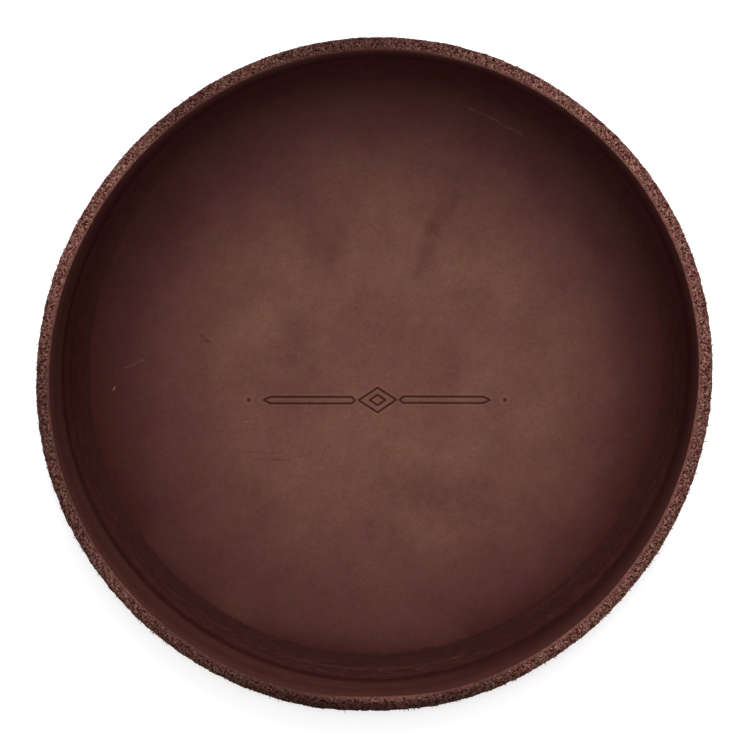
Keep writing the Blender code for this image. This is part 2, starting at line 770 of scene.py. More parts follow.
        # Darker towards the wall: partly dye and partly painted shade
        colour = self.outer.over(tree, self.outer_shade_zone.distance(tree, mm, mottle), colour)
        colour = self.edge.over(tree, self.edge_shade_zone.distance(tree, mm, mottle), colour)
        for mark in self.marks:
            colour = self.draw(tree, mm, mark, colour)
        turn = {"Vector": mm, "Angle": -self.long_way}
        turned = add_node(tree, "VectorRotate", turn, rotation_type="Z_AXIS").outputs[0]
        cove = self.worked_and_shaded_zone.distance(tree, turned, speckle)
        height = add_node(tree, "SeparateXYZ", {0: mm}).outputs["Z"]
        pores = self.pores(tree, mm)
        for coat, pattern in (
            (self.worked, cove),
            (self.foot, height),
            (self.wall, height),
            (self.wall_top, height),
            (self.handled, raised),
            (self.groove, pressed),
            (self.pore, pores),
        ):
            colour = coat.over(tree, pattern, colour)
        # The creases lighten and darken the colour, partly as painted light and shade
        creases, hatches = self.creases(tree, mm, cove)
        colour = self.shaded(tree, self.grained(tree, mm, colour), creases, self.crease_tone_and_shade)
        spread = {
            "Value": mottle,
            "To Min": self.roughness - self.shine_spread,
            "To Max": self.roughness + self.shine_spread,
        }
        worked_from, worked_most = self.worked.span
        waxed = {
            "Value": cove,
            "From Min": worked_from - self.wax_fade,
            "From Max": worked_most,
            "To Min": self.reflection,
            "To Max": self.worked_reflection,
        }
        shader = {
            "Base Color": self.hatch_highlight.over(tree, hatches, colour),
            "Roughness": add_node(tree, "MapRange", spread).outputs[0],
            "IOR": LEATHER_IOR,
            "Specular IOR Level": add_node(tree, "MapRange", waxed).outputs[0],
            "Normal": self.relief(tree, mm, pores, creases),
        }
        finish_material(tree, shader)
        return made

    def shaded(self, tree: Tree, colour: Socket, pattern: Socket, depth: float) -> Socket:
        """Make a colour lighter where a pattern is high and darker where it is low.

        Args:
            tree: The material's node tree.
            colour: The colour.
            pattern: A noise round one half.
            depth: How much lighter and darker it gets at most.

        Returns:
            The shaded colour.
        """
        low, high = self.tone_span
        span = {"Value": pattern, "From Min": low, "From Max": high}
        bright = add_node(tree, "MapRange", {**span, "To Min": 1 - depth, "To Max": 1 + depth}).outputs[0]
        return add_node(tree, "VectorMath", {0: colour, "Scale": bright}, operation="SCALE").outputs[0]

    def grained(self, tree: Tree, mm: Socket, colour: Socket) -> Socket:
        """Give the dye the unevenness of skin: blotches, a fine net of lines, a shifting hue and a wax haze
        that is partly painted sheen.

        Args:
            tree: The material's node tree.
            mm: Place in millimetres.
            colour: The dye.

        Returns:
            The uneven dye.
        """
        blotches = add_node(tree, "TexNoise", self.tone.inputs(mm)).outputs["Fac"]
        colour = self.shaded(tree, colour, blotches, self.tone_depth)
        shift = add_node(tree, "TexNoise", self.net_bend.inputs(mm)).outputs["Color"]
        bent = {0: shift, 1: (self.net_size,) * 3, 2: mm}
        moved = add_node(tree, "VectorMath", bent, operation="MULTIPLY_ADD").outputs[0]
        cells = {"Vector": moved, "Scale": 1 / self.net_size}
        net = add_node(tree, "TexVoronoi", cells, feature="DISTANCE_TO_EDGE").outputs["Distance"]
        lines = {"Value": net, "From Max": self.net_line, "To Min": 1 - self.net_depth, "To Max": 1.0}
        dim = add_node(tree, "MapRange", lines).outputs[0]
        colour = add_node(tree, "VectorMath", {0: colour, "Scale": dim}, operation="SCALE").outputs[0]
        return self.bloom_and_sheen.on(tree, mm, self.hue.on(tree, mm, colour))

    def creases(self, tree: Tree, mm: Socket, cove: Socket) -> tuple[Socket, Socket]:
        """Fine creases that run round the worked corner and the wall.

        Args:
            tree: The material's node tree.
            mm: Place in millimetres.
            cove: Distance from the middle.

        Returns:
            Noise that is one half where there are no creases, and where the creases at the front of the
            corner, where it is lit, carry thin pale hatches, partly rubbed wear and partly painted
            highlights, from 0 to 1.
        """
        flat = add_node(tree, "VectorMath", {0: mm, 1: LEVEL}, operation="MULTIPLY").outputs[0]
        facing = add_node(tree, "VectorMath", {0: flat}, operation="NORMALIZE").outputs[0]
        worked_from, worked_most = self.worked.span
        reach = {0: facing, "Scale": worked_from / self.crease_stretch}
        turned = add_node(tree, "VectorMath", reach, operation="SCALE").outputs[0]
        far = add_node(tree, "VectorMath", {0: flat}, operation="LENGTH").outputs["Value"]
        height = add_node(tree, "SeparateXYZ", {0: mm}).outputs["Z"]
        profile = add_node(tree, "Math", {0: far, 1: height}, operation="ADD").outputs[0]
        raised = add_node(tree, "CombineXYZ", {"Z": profile}).outputs[0]
        place = add_node(tree, "VectorMath", {0: turned, 1: raised}, operation="ADD").outputs[0]
        grain = add_node(tree, "TexNoise", self.crease.inputs(place)).outputs["Fac"]
        away = add_node(tree, "Math", {0: grain, 1: 0.5}, operation="SUBTRACT").outputs[0]
        span = {"Value": cove, "From Min": worked_from - self.crease_fade, "From Max": worked_most}
        held = add_node(tree, "MapRange", span).outputs[0]
        creases = add_node(tree, "Math", {0: away, 1: held, 2: 0.5}, operation="MULTIPLY_ADD").outputs[0]
        apart = add_node(tree, "Math", {0: profile, 1: self.hatch_middle}, operation="SUBTRACT").outputs[0]
        distance = add_node(tree, "Math", {0: apart}, operation="ABSOLUTE").outputs[0]
        near = {"Value": distance, "From Min": self.hatch_width, "From Max": 0.0}
        hatches = add_node(tree, "MapRange", near, interpolation_type="SMOOTHSTEP").outputs[0]
        # Only at the front, where the corner is lit: painted highlights
        ahead = add_node(tree, "SeparateXYZ", {0: facing}).outputs["Y"]
        for pattern, (low, high) in ((grain, self.hatch_span), (ahead, self.hatch_lit_front)):
            line = {"Value": pattern, "From Min": low, "From Max": high}
            share = add_node(tree, "MapRange", line).outputs[0]
            hatches = add_node(tree, "Math", {0: hatches, 1: share}, operation="MULTIPLY").outputs[0]
        return creases, hatches

    def pores(self, tree: Tree, mm: Socket) -> Socket:
        """Hair pores: small round dots, scattered in loose groups.

        Args:
            tree: The material's node tree.
            mm: Place in millimetres.

        Returns:
            How far a point is in a pore, from 0 to 1.
        """
        spread = {"Vector": mm, "Scale": 1 / self.pore_spacing}
        cells = add_node(tree, "TexVoronoi", spread).outputs["Distance"]
        groups = add_node(tree, "TexNoise", self.pore_groups.inputs(mm)).outputs["Fac"]
        dots, held = (
            add_node(tree, "MapRange", {"Value": value, "From Min": low, "From Max": high}).outputs[0]
            for value, (low, high) in ((cells, self.pore_span), (groups, self.group_span))
        )
        return add_node(tree, "Math", {0: dots, 1: held}, operation="MULTIPLY").outputs[0]

    def relief(self, tree: Tree, mm: Socket, pores: Socket, creases: Socket) -> Socket:
        """Fine pebble of the grain with its pores sunk in, and the creases round the corner.

        Args:
            tree: The material's node tree.
            mm: Place in millimetres.
            pores: How far a point is in a pore.
            creases: Noise that is one half where there are no creases.

        Returns:
            The surface's normal.
        """
        pebble = add_node(tree, "TexNoise", self.pebble.inputs(mm)).outputs["Fac"]
        fine = {"Height": pebble, "Distance": self.pebble_depth * MM}
        sunk = {
            "Height": pores,
            "Distance": self.pore_depth * MM,
            "Normal": add_node(tree, "Bump", fine).outputs[0],
        }
        folded = {
            "Height": creases,
            "Distance": self.crease_depth * MM,
            "Normal": add_node(tree, "Bump", sunk, invert=True).outputs[0],
        }
        return add_node(tree, "Bump", folded).outputs[0]

    def draw(self, tree: Tree, mm: Socket, mark: GrainMark, colour: Socket) -> Socket:
        """Lay one mark over the dye, along a line that noise bends to both sides of its run.

        Args:
            tree: The material's node tree.
            mm: Place in millimetres.
            mark: The mark.
            colour: What lies under it.

        Returns:
            The colour with the mark on it.
        """
        style = mark.kind.value
        run = Vector((*mark.end, 0.0)) - Vector((*mark.start, 0.0))
        begin = (mark.start[0] + style.wander, mark.start[1] + style.wander, 0.0)
        bend = add_node(tree, "TexNoise", self.mark_bend.inputs(mm)).outputs["Color"]
        bent = {0: bend, 1: (2 * style.wander, 2 * style.wander, 0.0), 2: mm}
        moved = add_node(tree, "VectorMath", bent, operation="MULTIPLY_ADD").outputs[0]
        away = add_node(tree, "VectorMath", {0: moved, 1: begin}, operation="SUBTRACT").outputs[0]
        away = add_node(tree, "VectorMath", {0: away, 1: LEVEL}, operation="MULTIPLY").outputs[0]
        onto = {0: away, 1: tuple(run / run.length_squared)}
        share = add_node(tree, "VectorMath", onto, operation="DOT_PRODUCT").outputs["Value"]
        held = add_node(tree, "Clamp", {"Value": share}).outputs[0]
        nearest = add_node(tree, "VectorMath", {0: tuple(run), "Scale": held}, operation="SCALE").outputs[0]
        gap = add_node(tree, "VectorMath", {0: away, 1: nearest}, operation="DISTANCE").outputs["Value"]
        reach = {"Value": gap, "From Min": style.half_width, "From Max": 0.0}
        near = add_node(tree, "MapRange", reach).outputs[0]
        if style.broken:
            patchy = add_node(tree, "TexNoise", self.mark_breaks.inputs(mm)).outputs["Fac"]
            broken = {"Value": patchy, "From Min": self.break_span[0], "From Max": self.break_span[1]}
            kept = add_node(tree, "MapRange", broken).outputs[0]
            near = add_node(tree, "Math", {0: near, 1: kept}, operation="MULTIPLY").outputs[0]
        return Coat(style.dye, most=style.most).over(tree, near, colour)


@dataclass(frozen=True)
class CutFinish:
    """The leather's own thickness, laid open by a knife and left undressed.

    To the eye: next to the grain it is dense and nearly smooth, paler than the dyed face, with faint streaks
    along the cut. From there outwards it is a coarse tangle, pale where a bundle of fibre stands up and
    nearly black in the pits between, partly painted shade. It is darker in patches round the rim, partly dirt
    and partly painted shade. Sizes are in millimetres. Real bundles are 0.02 to 0.1 mm thick, so the
    tangle is drawn about three times as coarse.
    """

    dense: str = "#69443E"
    streaks: Pattern = Pattern(0.8)
    streak: Coat = Coat("#8C5F58", (0.40, 0.66), 0.8)
    flecks: Pattern = Pattern(0.40)
    fleck: Coat = Coat("#451F1C", (0.54, 0.70), 0.6)
    loose: str = "#562B25"
    loose_span: Pair = (0.10, 0.90)
    tangle: Pattern = Pattern(0.33)
    raised_fibre: Coat = Coat(PALE_FIBRE, (0.15, 0.95), 0.70)
    tangled_fibre: Coat = Coat(PALE_FIBRE, (0.52, 0.70), 0.45)
    # Dark pits between the bundles: partly the fibre's own dark and partly painted shade
    tangled_pit: Coat = Coat(DARK_PIT, (0.48, 0.32), 0.65)
    pit: Coat = Coat(DARK_PIT, (0.05, 0.80), 0.85)
    # Laid over where a point notes dirt and painted shade: partly dirt and partly painted shade
    soil_and_shade: Coat = Coat("#200C0B", most=0.90)
    hue: Tint = Tint(Pattern(1.3, 3.0), (0.36, 0.64), (1.06, 0.93, 1.02), (0.95, 1.05, 0.90))
    roughness: float = 0.75
    reflection: float = 0.05
    relief: float = 0.09
    relief_strength: float = 0.9

    def material(self) -> bpy.types.Material:
        """Build the material.

        Returns:
            The cut leather, dense or loose as each point of the piece notes.
        """
        made, tree, mm = start_material("knife_cut_edge_undressed")
        streaks, flecks, tangle = (
            add_node(tree, "TexNoise", pattern.inputs(mm)).outputs["Fac"]
            for pattern in (self.streaks, self.flecks, self.tangle)
        )
        pressed, raised, loose, soiled = (
            add_node(tree, "Attribute", attribute_name=name).outputs["Fac"]
            for name in (PRESSED, RAISED, LOOSE, SOILED_AND_SHADED)
        )
        dense = self.streak.over(tree, streaks, linear(self.dense))
        dense = self.fleck.over(tree, flecks, dense)
        fibre = self.raised_fibre.over(tree, raised, linear(self.loose))
        fibre = self.tangled_fibre.over(tree, tangle, fibre)
        fibre = self.tangled_pit.over(tree, tangle, fibre)
        colour = lay_over(tree, loose, self.loose_span, dense, fibre, 1.0)
        colour = self.pit.over(tree, pressed, colour)
        colour = self.soil_and_shade.over(tree, soiled, colour)
        bump = {"Height": tangle, "Distance": self.relief * MM, "Strength": self.relief_strength}
        shader = {
            "Base Color": self.hue.on(tree, mm, colour),
            "Roughness": self.roughness,
            "IOR": LEATHER_IOR,
            "Specular IOR Level": self.reflection,
            "Normal": add_node(tree, "Bump", bump).outputs[0],
        }
        finish_material(tree, shader)
        return made


@dataclass(frozen=True)
class FleshFinish:
    """The flesh side of the hide, split, dyed through and buffed.

    To the eye: a matt brown nap with short fibres lying in drifts, a little paler where it was handled.
    Sizes are in millimetres. Real nap is 0.02 to 0.05 mm thick, so its hairs are drawn coarser.
    """

    nap: str = "#5E392E"
    drifts: Pattern = Pattern(11.0, 4.0)
    drift: Coat = Coat(NAP_DRIFT, (0.38, 0.66), 0.8)
    tufts: Pattern = Pattern(0.55, 6.0, 0.5, 0.8)
    tuft: Coat = Coat(NAP_SHADE, (0.50, 0.74), 0.75)
    hairs: Pattern = Pattern(0.16, 2.0)
    hair: Coat = Coat(NAP_DRIFT, (0.56, 0.78), 0.6)
    # Darker in the nap's hollows: partly the nap's own tone and partly painted shade
    hollow: Coat = Coat(NAP_SHADE, most=0.8)
    roughness: float = 0.90
    reflection: float = 0.25
    fuzz: float = 0.25
    relief: float = 0.10

    def material(self) -> bpy.types.Material:
        """Build the material.

        Returns:
            The buffed nap.
        """
        made, tree, mm = start_material("buffed_flesh_side_nap")
        drifts, tufts, hairs = (
            add_node(tree, "TexNoise", pattern.inputs(mm)).outputs["Fac"]
            for pattern in (self.drifts, self.tufts, self.hairs)
        )
        pressed = add_node(tree, "Attribute", attribute_name=PRESSED).outputs["Fac"]
        colour = self.drift.over(tree, drifts, linear(self.nap))
        colour = self.tuft.over(tree, tufts, colour)
        colour = self.hair.over(tree, hairs, colour)
        shader = {
            "Base Color": self.hollow.over(tree, pressed, colour),
            "Roughness": self.roughness,
            "IOR": LEATHER_IOR,
            "Specular IOR Level": self.reflection,
            "Sheen Weight": self.fuzz,
            "Normal": add_node(tree, "Bump", {"Height": tufts, "Distance": self.relief * MM}).outputs[0],
        }
        finish_material(tree, shader)
        return made


@dataclass(frozen=True)
class Divider:
    """A plain blind-tooled line with a lozenge in its middle, pressed into the damp floor.

    Widths across a stroke, such as where its side starts to sink, are in half widths of the stroke.
    """

    middle: Pair = (0.4 * MM, -7.3 * MM)
    half_length: float = 30.0 * MM
    lozenge: Pair = (4.4 * MM, 2.9 * MM)
    inner_share: float = 0.42
    rail_gap: float = 1.5 * MM
    rail_start: float = 6.0 * MM
    rail_end: float = 25.0 * MM
    line_width: float = 0.60 * MM
    dot_width: float = 1.1 * MM
    depth: float = 0.26 * MM
    side: Pair = (1.05, 0.25)
    lip: float = 0.05 * MM
    lip_middle: float = 1.7
    lip_width: float = 0.5
    # Painted highlight on the raised lip beside each stroke
    lip_highlight: float = 0.55

    def strokes(self) -> list[tuple[float, float, float, float, float]]:
        """The strokes of the tool.

        Returns:
            For each, x and y of its start and of its end, and its width.
        """
        wide, tall = self.lozenge
        made = []
        for share in (1.0, self.inner_share):
            corners = [(wide * share, 0.0), (0.0, tall * share), (-wide * share, 0.0), (0.0, -tall * share)]
            made += [(*corners[i], *corners[(i + 1) % 4], self.line_width) for i in range(4)]
        rail = self.rail_gap / 2
        for side in (-1, 1):
            start, end = side * self.rail_start, side * self.rail_end
            for edge in (-rail, rail):
                made.append((start, edge, end, edge, self.line_width))
                made.append((end, edge, side * (self.rail_end + self.rail_gap), 0.0, self.line_width))
                made.append((start, edge, side * (self.rail_start - rail), 0.0, self.line_width))
            made.append((side * self.half_length, 0.0, side * self.half_length, 0.0, self.dot_width))
        x, y = self.middle
        return [(x + a, y + b, x + c, y + d, width) for a, b, c, d, width in made]

    def nearest(self, places: np.ndarray) -> np.ndarray:
        """How far each place is from the nearest stroke's middle line, in half widths of that stroke.

        Args:
            places: Rows of x and y.

        Returns:
            One number for each row.
        """
        found = np.full(len(places), np.inf)
        for ax, ay, bx, by, width in self.strokes():
            start, run = np.array((ax, ay)), np.array((bx - ax, by - ay))
            share = np.clip((places - start) @ run / max(run @ run, SAME_PLACE**2), 0, 1)
            gap = np.linalg.norm(places - start - share[:, None] * run, axis=1)
            found = np.minimum(found, gap / (width / 2))
        return found

    def press(self, away: float) -> Triple:
        """Depth and tone of the pressed line.

        Args:
            away: Distance from a stroke's middle line in half widths.

        Returns:
            How deep the grain is pressed, how dark it is, and how far its raised lip is painted pale as a
            highlight.
        """
        inside = ease(*self.side, away)
        beside = swell(away - self.lip_middle, self.lip_width)
        return self.depth * inside - self.lip * beside, inside, self.lip_highlight * beside


@dataclass(frozen=True)
class Wrinkle:
    """A fine fold that runs round the lining's corner, where the wet leather had to shrink.

    A positive depth is a furrow and a negative one a ridge. One with a start and an end, in degrees, is
    there all the way between them, and the others come and go round the tray.
    """

    below_wall: float
    width: float
    depth: float
    swells: float
    seed: float
    start: float = 0.0
    end: float = 360.0
    fade: float = 4.0
    shows: Pair = (-0.05, 0.40)
    wander: float = 0.30 * MM
    wander_swells: float = 12
    wander_seed: float = 7

    def below(self, angle: float) -> float:
        """How far below the wall's start it runs at an angle."""
        seed = self.seed + self.wander_seed
        return self.below_wall - Wander(self.wander, self.wander_swells, seed).at(angle)

    def strength(self, angle: float) -> float:
        """How much of it there is at an angle.

        Args:
            angle: Angle round the axis.

        Returns:
            A number from 0 to 1.
        """
        if self.end - self.start < 360:
            turned = math.degrees(angle) % 360
            rise = ease(self.start, self.start + self.fade, turned)
            return rise * ease(self.end, self.end - self.fade, turned)
        return ease(*self.shows, Wander(1.0, self.swells, self.seed).at(angle))


@dataclass(frozen=True)
class CutStep:
    """One ring of the cut: its offset into the leather, its drop below the rim, and how far it leans."""

    offset: float
    drop: float
    lean: float


@dataclass(frozen=True)
class CutEdge:
    """The knife's level cut over both plies, with its two edges rubbed round.

    Next to the grain the cut is close and smooth. From there the fibre gets loose, along a wandering line:
    ridges of bundled fibre with gaps and pits between them, and nubs and tatters on its outer edge.
    """

    section: Section
    hand: HandShape
    inner_round: float = 0.60 * MM
    outer_round: float = 1.45 * MM
    outer_drop: float = 1.00 * MM
    cement: float = 1.15 * MM
    step: float = 0.155 * MM
    turns: int = 7
    loose_from: float = 0.36 * MM
    loose_wander: float = 0.45 * MM
    loose_rise: float = 0.40 * MM
    ragged_size: float = 1.65 * MM
    ragged_fine: float = 0.6
    ripple: float = 0.030 * MM
    ripple_size: float = 0.70 * MM
    bundle_size: float = 0.38 * MM
    bundle_sharpness: float = 2.6
    bundle_height: float = 0.07 * MM
    warp_size: float = 1.4 * MM
    warp_share: float = 0.7
    pit_size: float = 0.55 * MM
    pit_depth: float = 0.22 * MM
    pit_span: Pair = (0.06, 0.42)
    gap_scale: float = 0.9
    gap_span: Pair = (0.10, 0.50)
    gap_share: float = 0.8
    nub_size: float = 2.1 * MM
    nub_height: float = 0.20 * MM
    tatter_size: float = 0.60 * MM
    tatter_height: float = 0.05 * MM
    swelling: tuple[Patch, ...] = (Patch(0.40 * MM, -90, 16), Patch(0.34 * MM, -22, 34))
    swelling_reach: float = 5.0 * MM
    # Darker towards the cut's outer edge
    outer_darkening: float = 0.14
    outer_darkening_span: Pair = (0.6 * MM, 2.2 * MM)
    # Painted shade on the outer part of the cut at the front
    front_painted_shade: Patch = Patch(0.60, -92, 20)
    front_painted_shade_span: Pair = (0.8 * MM, 1.8 * MM)
    # Painted highlight on the inner part of the cut at the front
    front_painted_highlight: Patch = Patch(0.47, -90, 17)
    front_painted_highlight_span: Pair = (1.2 * MM, 0.4 * MM)
    # Darker patches round the rim: partly dirt and partly painted shade
    soil_and_shade_patches: tuple[Patch, ...] = (
        Patch(0.20, -73, 10),
        Patch(0.76, -101, 38),
        Patch(0.12, -100, 7),
        Patch(0.10, -131, 6),
        Patch(0.14, -150, 9),
        Patch(0.52, -173, 25),
        Patch(0.64, 94, 33),
        Patch(0.32, 127, 10),
        Patch(0.28, -16, 36),
    )

    def swollen(self, angle: float, offset: float, up: float) -> float:
        """How far the cut end of the grain ply has swelled inwards.

        Args:
            angle: Angle round the axis.
            offset: How far into the leather.
            up: Height above the underside.

        Returns:
            The swelling, most at the grain, at the rim.
        """
        most = sum(patch.at(angle) for patch in self.swelling)
        high = ease(self.section.height - self.swelling_reach, self.section.height, up)
        return most * high * ease(self.cement, 0.0, offset)

    def soil_and_shade(self, angle: float, offset: float) -> float:
        """How much dirt and painted shade the cut has: darker patches round the rim, darker towards its outer
        edge, and at the front painted shade on its outer part and a painted highlight on its inner part.

        Args:
            angle: Angle round the axis.
            offset: How far into the leather. The outer part is darker.

        Returns:
            A number from 0 to 1.
        """
        clean = 1 - ease(0, 1, sum(patch.at(angle) for patch in self.soil_and_shade_patches))
        clean *= 1 - self.outer_darkening * ease(*self.outer_darkening_span, offset)
        clean *= 1 - self.front_painted_shade.at(angle) * ease(*self.front_painted_shade_span, offset)
        clean = min(1.0, clean + self.front_painted_highlight.at(angle) * ease(*self.front_painted_highlight_span, offset))
        return uneased(1 - clean)

    def inner_steps(self) -> list[CutStep]:
        """Rings over the grain ply.

        Returns:
            The rings, from its wall to the cement.
        """
        made = []
        for number in range(self.turns):
            lean = math.pi / 2 * (number / self.turns - 1)
            drop = self.inner_round * (1 - math.cos(lean))
            made.append(CutStep(self.inner_round * (1 + math.sin(lean)), drop, lean))
        made += [CutStep(offset, 0.0, 0.0) for offset in evenly(self.inner_round, self.cement, self.step)]
        return [*made, CutStep(self.cement, 0.0, 0.0)]

    def outer_steps(self) -> list[CutStep]:
        """Rings over the flesh ply.

        Returns:
            The rings, from the cement to its wall.
        """
        level_end = self.section.thickness - self.outer_round
        made = [CutStep(offset, 0.0, 0.0) for offset in evenly(self.cement, level_end, self.step)]
        for number in range(self.turns + 1):
            lean = math.pi / 2 * number / self.turns
            drop = self.outer_drop * (1 - math.cos(lean))
            made.append(CutStep(level_end + self.outer_round * math.sin(lean), drop, lean))
        return made

    def spot(self, step: CutStep, angle: float) -> Spot:
        """Point of the cut, with its pits, bundles of fibre and nubs.

        Args:
            step: The ring that it lies on.
            angle: Angle round the axis.

        Returns:
            The point and its marks.
        """
        up = self.section.height - step.drop
        offset = step.offset - self.swollen(angle, step.offset, up)
        radius = self.section.point(self.section.wall_at(up, offset), offset)[0]
        place = Vector((radius * math.cos(angle), radius * math.sin(angle), -step.drop))
        warped = place / self.bundle_size + self.warp_share * noise.noise_vector(place / self.warp_size)
        bundle = 1 - self.bundle_sharpness * abs(noise.noise(warped))
        ragged = noise.noise(place / self.ragged_size)
        ragged += self.ragged_fine * noise.noise(place / self.pit_size)
        edge = self.loose_from + self.loose_wander * ragged
        loose = ease(edge, edge + self.loose_rise, step.offset)
        gap = ease(*self.gap_span, noise.noise(self.gap_scale * warped + GAP_SEED))
        pit = ease(*self.pit_span, noise.noise(place / self.pit_size + PIT_SEED))
        pit = max(pit, self.gap_share * gap)
        ripple = self.ripple * noise.noise(place / self.ripple_size)
        rise = loose * (self.bundle_height * bundle - self.pit_depth * pit) + (1 - loose) * ripple
        nub = self.nub_height * noise.noise(place / self.nub_size + NUB_SEED)
        nub += self.tatter_height * noise.noise(place / self.tatter_size + TATTER_SEED)
        out = rise * math.sin(step.lean) + nub * max(0.0, math.sin(step.lean))
        point = self.hand.place(radius + out, up + rise * math.cos(step.lean), angle)
        raised = loose * max(0.0, bundle) * (1 - pit)
        return Spot(point, loose * pit, raised, loose, self.soil_and_shade(angle, step.offset))

    def lay_cemented(
        self, mesh: PieceMesh, ring: list[int], offset: float, rings: list[tuple[int, float]]
    ) -> list[int]:
        """Lay out rings of a ply's cemented side, which nothing shows.

        Args:
            mesh: The piece.
            ring: The ring that they join, or none, for a start round a closed middle.
            offset: How far into the leather the side lies.
            rings: How many points each has, and how far along the plug it lies.

        Returns:
            The last ring.
        """
        for count, along in rings:
            radius, up = self.section.point(along, offset)
            after = mesh.add_ring(count, lambda angle, r=radius, u=up: Spot(self.hand.place(r, u, angle)))
            if ring:
                mesh.join(ring, after, Side.CUT)
            else:
                self.close_cemented(mesh, after, offset)
            ring = after
        return ring

    def close_cemented(self, mesh: PieceMesh, ring: list[int], offset: float) -> None:
        """Close a cemented side over the middle of the floor."""
        mesh.close(ring, Spot(Vector((0, 0, self.section.thickness - offset))), Side.CUT)


@dataclass
class LiningPly:
    """The inner ply: grain side up over the floor, the worked corner, the crease, the wall and its cut.

    Rings of the cut that lean in more than grain_lean are still grain, and those past finest_lean are the
    finest. Floor points are near_step apart within near_reach half widths of a tooled stroke, tool_step
    apart within tool_reach, and each is shaken by a share of its step. A tone goes from 0 to 1.
    """

    section: Section
    cut: CutEdge
    divider: Divider
    sectors: int = 720
    margin: float = 3.0 * MM
    fine_step: float = 0.255 * MM
    wall_step: float = 1.2 * MM
    floor_step: float = 1.5 * MM
    near_step: float = 0.45 * MM
    tool_step: float = 0.17 * MM
    fine_past_crease: float = 2.6
    near_reach: float = 8.0
    tool_reach: float = 3.4
    shake: float = 0.12
    grain_lean: float = -1.0
    finest_lean: float = -0.6
    cement_gap: float = 0.03 * MM
    back_drops: Triple = (0.3 * MM, 1.0 * MM, 3.0 * MM)
    floor_swell: float = 0.10 * MM
    floor_swell_size: float = 21.0 * MM
    floor_swell_seed: float = 2.2
    crease_rise: float = -1.9 * MM
    crease_width: float = 0.95 * MM
    crease_depth: float = 0.32 * MM
    crease_mean: float = 0.8
    crease_change: Wander = Wander(0.3, 13, 9.4)
    crease_wander: Wander = Wander(0.25 * MM, 9, 1.3)
    crease_sharp: OneSided = OneSided(-125, 0.25, (-0.5, 0.5))
    # How dark the crease is: partly pressed dye and partly painted shade
    crease_tone_and_shade: float = 0.47
    crease_lip: float = 0.05 * MM
    lip_away: float = 1.9
    lip_width: float = 0.6
    upper_lip: float = 0.6
    worked_hard: OneSided = OneSided(268, 0.35, (-0.3, 0.9))
    # Wrinkles are darker in their furrows and paler on their ridges: partly dye and wear, partly painted
    # shade and painted highlights
    furrow_dye_and_shade: float = 0.6
    ridge_wear_and_highlight: float = 0.22
    crinkle_depth: float = 0.045 * MM
    crinkle_length: float = 5.0 * MM
    crinkle_width: float = 0.42 * MM
    crinkle_band: Band = Band(-12.27 * MM, -4.0 * MM, 0.0, 2.0 * MM)
    wall_swell: float = 0.10 * MM
    wall_swell_size: float = 9.0 * MM
    wall_swell_turns: float = 3.0
    wall_swell_rise: float = 6.0 * MM
    # Paler on the wall at the front left: partly wear from hands and partly painted light
    handling_and_light: OneSided = OneSided(-140, 0.0, (0.1, 0.7))
    handled_wear_and_light: float = 0.40
    handled_and_lit_band: Band = Band(-0.2 * MM, 2.2 * MM, 5.0 * MM, 16.0 * MM)
    # Painted shade on the lower wall at the front right
    front_right_painted_shade: Patch = Patch(0.34, -45, 24)
    front_right_painted_shade_band: Band = Band(-0.2 * MM, 2.2 * MM, 5.0 * MM, 12.0 * MM)
    # Painted shade in the corner at the left and at the right
    cove_painted_shade: tuple[Patch, ...] = (Patch(0.50, 180, 30), Patch(0.34, -4, 20))
    cove_painted_shade_band: Band = Band(-9.77 * MM, -8.47 * MM, -3.0 * MM, -0.5 * MM)
    wrinkles: tuple[Wrinkle, ...] = (
        Wrinkle(3.9 * MM, 0.24 * MM, -0.06 * MM, 48, 4.1),
        Wrinkle(4.5 * MM, 0.26 * MM, 0.08 * MM, 28, 5.3),
        Wrinkle(5.2 * MM, 0.26 * MM, -0.05 * MM, 44, 6.7),
        Wrinkle(5.1 * MM, 0.55 * MM, -0.03 * MM, 1, 0.9, start=250, end=290),
        Wrinkle(5.9 * MM, 0.30 * MM, 0.07 * MM, 26, 2.9),
        Wrinkle(7.2 * MM, 0.26 * MM, -0.14 * MM, 1, 0.4, start=298, end=322),
    )

    def build(self, grain: bpy.types.Material, cut: bpy.types.Material) -> bpy.types.Object:
        """Lay out the ply from its floor up to the rim and down its cemented back.

        Args:
            grain: Finish of the grain side.
            cut: Finish of its cut edge.

        Returns:
            The finished piece.
        """
        mesh = PieceMesh("grain_lining_leather")
        ring = self.lay_floor(mesh)
        for along in self.ways_up()[1:]:
            after = mesh.add_ring(self.sectors, lambda angle, s=along: self.inside(s, angle))
            mesh.join(ring, after, Side.FACE)
            ring = after
        for step in self.cut.inner_steps():
            finer = 1 if step.lean < self.grain_lean else 2 if step.lean < self.finest_lean else 4
            after = mesh.add_ring(finer * self.sectors, lambda angle, s=step: self.cut.spot(s, angle))
            mesh.join(ring, after, Side.FACE if step.lean < self.grain_lean else Side.CUT)
            ring = after
        self.lay_back(mesh, ring)
        return mesh.build([grain, cut])

    def ways_up(self) -> list[float]:
        """How far along the plug each ring of the inside lies.

        Returns:
            The ways along, from the floor's margin to under the rim.
        """
        floor, wall = self.section.floor_radius, self.section.wall_start
        top = self.section.wall_at(self.section.height - self.cut.inner_round, 0)
        fine_end = wall + self.crease_rise + self.fine_past_crease * self.crease_width
        ways = evenly(floor - self.margin, floor - self.margin / 3, self.near_step)
        ways += evenly(ways[-1] + self.near_step, fine_end, self.fine_step)
        return ways + evenly(fine_end, top, self.wall_step)

